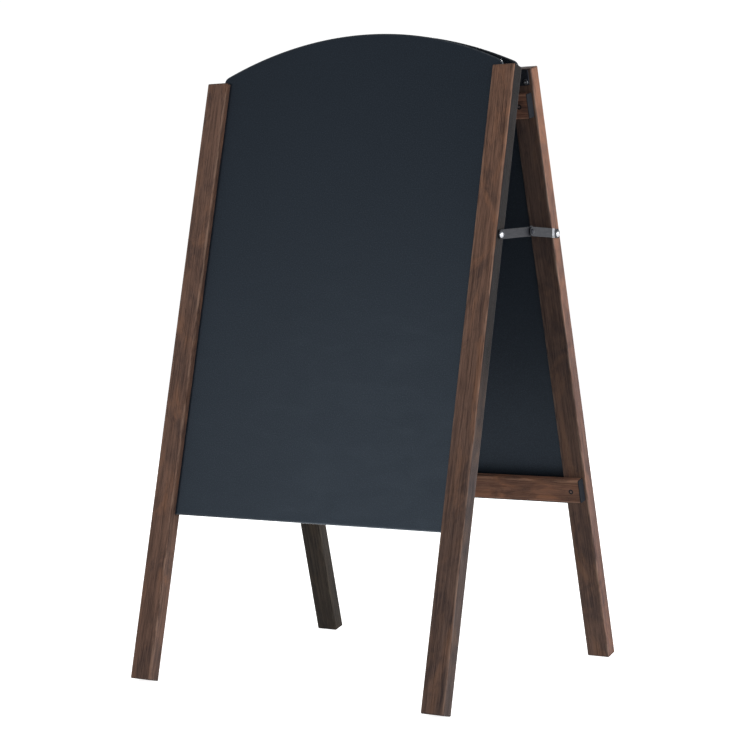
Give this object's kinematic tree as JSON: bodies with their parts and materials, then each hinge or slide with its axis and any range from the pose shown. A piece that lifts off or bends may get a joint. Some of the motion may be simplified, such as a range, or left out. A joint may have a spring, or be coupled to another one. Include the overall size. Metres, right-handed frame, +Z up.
{
  "type": "folding a-frame chalkboard easel",
  "caption": "Folding wooden A-frame sign: leaning frames with arched chalkboards in grooved posts, hinged at the top and held open by folding side stays.",
  "frame": {"origin": "on the floor, midway between the front and rear frames and midway between the posts", "axes": "+Z up, -Y towards the front board, +X to the right of someone facing the front board"},
  "size_m": [0.5118, 0.4708, 0.8755],
  "materials": {
    "stained_wood": "walnut-stained softwood, satin, worn along the grain",
    "chalkboard": "matte charcoal chalkboard paint",
    "black_steel": "black painted steel",
    "stay_steel": "dull zinc-plated steel",
    "bright_steel": "bright nickel-plated steel"
  },
  "bodies": {
    "front_frame": {"front_left_post": "stained_wood", "front_right_post": "stained_wood", "front_upper_rail": "stained_wood", "front_lower_rail": "stained_wood", "front_chalkboard": "chalkboard", "front_left_bracket": "black_steel", "front_right_bracket": "black_steel", "front_rail_screws": "black_steel", "front_bracket_screws": "black_steel", "front_stay_screws": "bright_steel", "front_stay_washers": "bright_steel", "left_hinge_pin": "black_steel", "right_hinge_pin": "black_steel"},
    "rear_frame": {"rear_left_post": "stained_wood", "rear_right_post": "stained_wood", "rear_upper_rail": "stained_wood", "rear_lower_rail": "stained_wood", "rear_chalkboard": "chalkboard", "rear_left_bracket": "black_steel", "rear_right_bracket": "black_steel", "rear_rail_screws": "black_steel", "rear_bracket_screws": "black_steel", "rear_stay_screws": "bright_steel", "rear_stay_washers": "bright_steel"},
    "left_front_link": {"left_front_link": "stay_steel"},
    "left_rear_link": {"left_rear_link": "stay_steel", "left_stay_rivet": "stay_steel"},
    "right_front_link": {"right_front_link": "stay_steel"},
    "right_rear_link": {"right_rear_link": "stay_steel", "right_stay_rivet": "stay_steel"}
  },
  "joints": [
    {"name": "frame_fold", "type": "hinge", "parent": "front_frame", "child": "rear_frame", "pos_m": [0, 0, 0.80216], "axis": [-1, 0, 0], "range_deg": [0, 28.2]},
    {"name": "left_front_link_pivot", "type": "hinge", "parent": "front_frame", "child": "left_front_link", "pos_m": [-0.2515, -0.07594, 0.59956], "axis": [1, 0, 0], "range_deg": [0, 48.35]},
    {"name": "left_rear_link_pivot", "type": "hinge", "parent": "rear_frame", "child": "left_rear_link", "pos_m": [-0.2515, 0.07594, 0.59956], "axis": [-1, 0, 0], "range_deg": [0, 61.59]},
    {"name": "right_front_link_pivot", "type": "hinge", "parent": "front_frame", "child": "right_front_link", "pos_m": [0.2515, -0.07594, 0.59956], "axis": [1, 0, 0], "range_deg": [0, 48.35]},
    {"name": "right_rear_link_pivot", "type": "hinge", "parent": "rear_frame", "child": "right_rear_link", "pos_m": [0.2515, 0.07594, 0.59956], "axis": [-1, 0, 0], "range_deg": [0, 61.59]}
  ],
  "couplings": [
    {"joint": "left_front_link_pivot", "follows": "frame_fold", "ratio": 1.7146},
    {"joint": "left_rear_link_pivot", "follows": "frame_fold", "ratio": 2.1842},
    {"joint": "right_front_link_pivot", "follows": "frame_fold", "ratio": 1.7146},
    {"joint": "right_rear_link_pivot", "follows": "frame_fold", "ratio": 2.1842}
  ]
}
